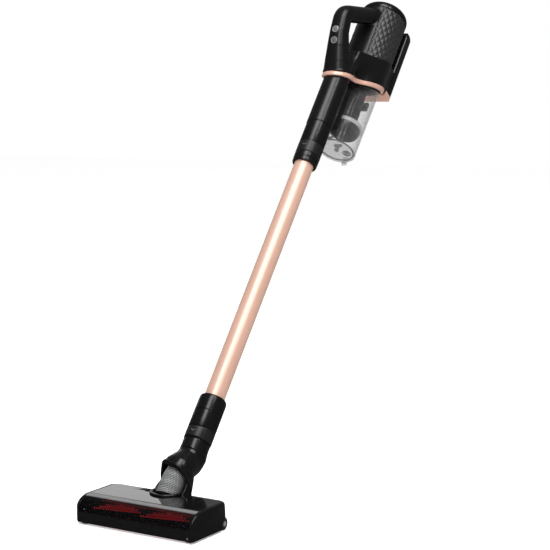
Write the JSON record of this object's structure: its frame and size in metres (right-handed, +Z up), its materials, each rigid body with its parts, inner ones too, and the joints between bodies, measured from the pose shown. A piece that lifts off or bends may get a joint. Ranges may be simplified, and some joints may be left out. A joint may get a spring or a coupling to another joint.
{
  "type": "cordless stick vacuum",
  "caption": "Cordless stick vacuum with a looped-handle hand unit, clear dust box, clip-on battery, metal wand and a swivelling powered floor head.",
  "frame": {"origin": "on the floor under the middle of the floor head's front edge", "axes": "+Z up, +Y from the head's front to its rear and up the leaning stick, +X to the right seen from behind"},
  "size_m": [0.24, 0.9575, 0.9266],
  "materials": {
    "black_gloss": "polished",
    "black_satin": "satin",
    "black_matte": "matte",
    "rose_anodised": "satin anodised",
    "rose_gloss": "satin",
    "grey_mid": "satin",
    "grey_dark": "satin",
    "grey_light": "satin",
    "button_upper": "speckled",
    "button_lower": "speckled",
    "quilted_grey": "quilted",
    "clear_shell": "clear",
    "smoked_window": "smoked",
    "silver_strip": "satin silver",
    "hose_grey": "ribbed",
    "rubber_black": "soft",
    "steel": "turned",
    "motor_steel": "satin",
    "board_green": "matte",
    "filter_white": "pleated",
    "cell_wrap": "film",
    "bristle_red": "bristles"
  },
  "bodies": {
    "hand_unit": {"suction_tube": "black_gloss", "trim_band": "rose_gloss", "housing_left": "black_gloss", "housing_right": "black_gloss", "housing_floor": "black_matte", "motor_casing": "black_gloss", "fan_motor": "motor_steel", "handle_left": "black_gloss", "handle_right": "black_gloss", "button_board": "board_green", "control_board": "board_green"},
    "fan_rotor": {"fan_impeller": "steel"},
    "power_key": {"power_button": "button_upper"},
    "speed_key": {"speed_button": "button_lower"},
    "filter_lid": {"filter_cover": "quilted_grey", "filter_cap": "black_gloss", "fine_filter": "filter_white"},
    "battery": {"battery_case": "black_gloss", "battery_foot": "rose_gloss", "battery_cells": "cell_wrap", "battery_strips": "grey_mid"},
    "battery_key": {"battery_latch": "grey_mid"},
    "dust_bin": {"dust_box": "clear_shell", "cyclone_cup": "black_satin", "cyclone_ring": "grey_light", "cyclone_mesh": "grey_dark", "flap_pin": "steel"},
    "bin_key": {"box_release": "grey_dark"},
    "bin_flap": {"base_flap": "grey_light", "flap_post": "black_satin", "flap_seal": "rubber_black"},
    "bin_catch": {"flap_catch": "black_matte"},
    "wand": {"wand_tube": "rose_anodised", "wand_collar": "black_gloss"},
    "wand_key": {"wand_release": "grey_dark"},
    "neck": {"neck_mouth": "black_gloss", "neck_sleeve": "black_gloss", "neck_band": "black_satin", "neck_lower": "black_gloss", "swivel_ring": "grey_light"},
    "neck_key": {"neck_release": "grey_dark"},
    "neck_elbow": {"elbow": "black_gloss"},
    "floor_head": {"pivot_pins": "steel", "hose": "hose_grey", "hose_collar": "black_gloss", "hose_socket": "black_matte", "head_cover": "black_gloss", "head_base": "black_matte", "front_bumper": "black_satin", "brush_window": "smoked_window", "crest_strip": "silver_strip", "end_cap_left": "black_gloss", "end_cap_right": "black_gloss", "brush_motor": "motor_steel", "drive_belt": "rubber_black"},
    "brush": {"brush_core": "black_matte", "brush_bristles": "bristle_red"},
    "pinion": {"motor_pinion": "steel"},
    "wheels": {"rear_wheels": "rubber_black"},
    "rollers": {"front_rollers": "rubber_black"}
  },
  "joints": [
    {"name": "fan_spin", "type": "hinge", "parent": "hand_unit", "child": "fan_rotor", "pos_m": [0, 0.83606, 0.81477], "axis": [0, 0.6157, 0.788], "continuous": true},
    {"name": "power_press", "type": "slide", "parent": "hand_unit", "child": "power_key", "axis": [0, 0.9659, -0.2588], "range_m": [0, 0.001], "stiffness_N_per_m": 900},
    {"name": "speed_press", "type": "slide", "parent": "hand_unit", "child": "speed_key", "axis": [0, 0.9848, -0.1736], "range_m": [0, 0.001], "stiffness_N_per_m": 900},
    {"name": "filter_lift", "type": "slide", "parent": "hand_unit", "child": "filter_lid", "axis": [0, 0.6157, 0.788], "range_m": [0, 0.06]},
    {"name": "battery_slide", "type": "slide", "parent": "hand_unit", "child": "battery", "axis": [0, -0.6157, -0.788], "range_m": [0, 0.06]},
    {"name": "battery_release", "type": "slide", "parent": "battery", "child": "battery_key", "axis": [0, -0.788, 0.6157], "range_m": [0, 0.001], "stiffness_N_per_m": 900},
    {"name": "bin_slide", "type": "slide", "parent": "hand_unit", "child": "dust_bin", "axis": [0, -0.6157, -0.788], "range_m": [0, 0.045]},
    {"name": "bin_release", "type": "slide", "parent": "dust_bin", "child": "bin_key", "axis": [0, -0.788, 0.6157], "range_m": [0, 0.0015], "stiffness_N_per_m": 900},
    {"name": "flap_swing", "type": "hinge", "parent": "dust_bin", "child": "bin_flap", "pos_m": [0, 0.65558, 0.64614], "axis": [1, 0, 0], "range_deg": [-85, 0]},
    {"name": "catch_press", "type": "slide", "parent": "dust_bin", "child": "bin_catch", "axis": [0, 0.788, -0.6157], "range_m": [0, 0.002], "stiffness_N_per_m": 900},
    {"name": "wand_slide", "type": "slide", "parent": "hand_unit", "child": "wand", "axis": [0, -0.6157, -0.788], "range_m": [0, 0.056]},
    {"name": "wand_release_press", "type": "slide", "parent": "wand", "child": "wand_key", "axis": [0, 0.788, -0.6157], "range_m": [0, 0.0015], "stiffness_N_per_m": 900},
    {"name": "neck_slide", "type": "slide", "parent": "wand", "child": "neck", "axis": [0, -0.6157, -0.788], "range_m": [0, 0.03]},
    {"name": "neck_release_press", "type": "slide", "parent": "neck", "child": "neck_key", "axis": [0, 0.788, -0.6157], "range_m": [0, 0.0015], "stiffness_N_per_m": 900},
    {"name": "swivel", "type": "hinge", "parent": "neck", "child": "neck_elbow", "pos_m": [0, 0.17182, 0.0944], "axis": [0, 0.866, 0.5], "range_deg": [-50, 50]},
    {"name": "tilt", "type": "hinge", "parent": "neck_elbow", "child": "floor_head", "pos_m": [0, 0.106, 0.04], "axis": [1, 0, 0], "range_deg": [-38, 30], "deforming": ["hose"]},
    {"name": "brush_spin", "type": "hinge", "parent": "floor_head", "child": "brush", "pos_m": [0, 0.027, 0.022], "axis": [1, 0, 0], "continuous": true},
    {"name": "pinion_spin", "type": "hinge", "parent": "floor_head", "child": "pinion", "pos_m": [-0.1, 0.068, 0.025], "axis": [1, 0, 0], "continuous": true},
    {"name": "wheel_roll", "type": "hinge", "parent": "floor_head", "child": "wheels", "pos_m": [0, 0.1, 0.011], "axis": [1, 0, 0], "continuous": true},
    {"name": "roller_roll", "type": "hinge", "parent": "floor_head", "child": "rollers", "pos_m": [0, 0.009, 0.005], "axis": [1, 0, 0], "continuous": true}
  ],
  "couplings": [
    {"joint": "pinion_spin", "follows": "brush_spin", "ratio": 1.6667}
  ]
}
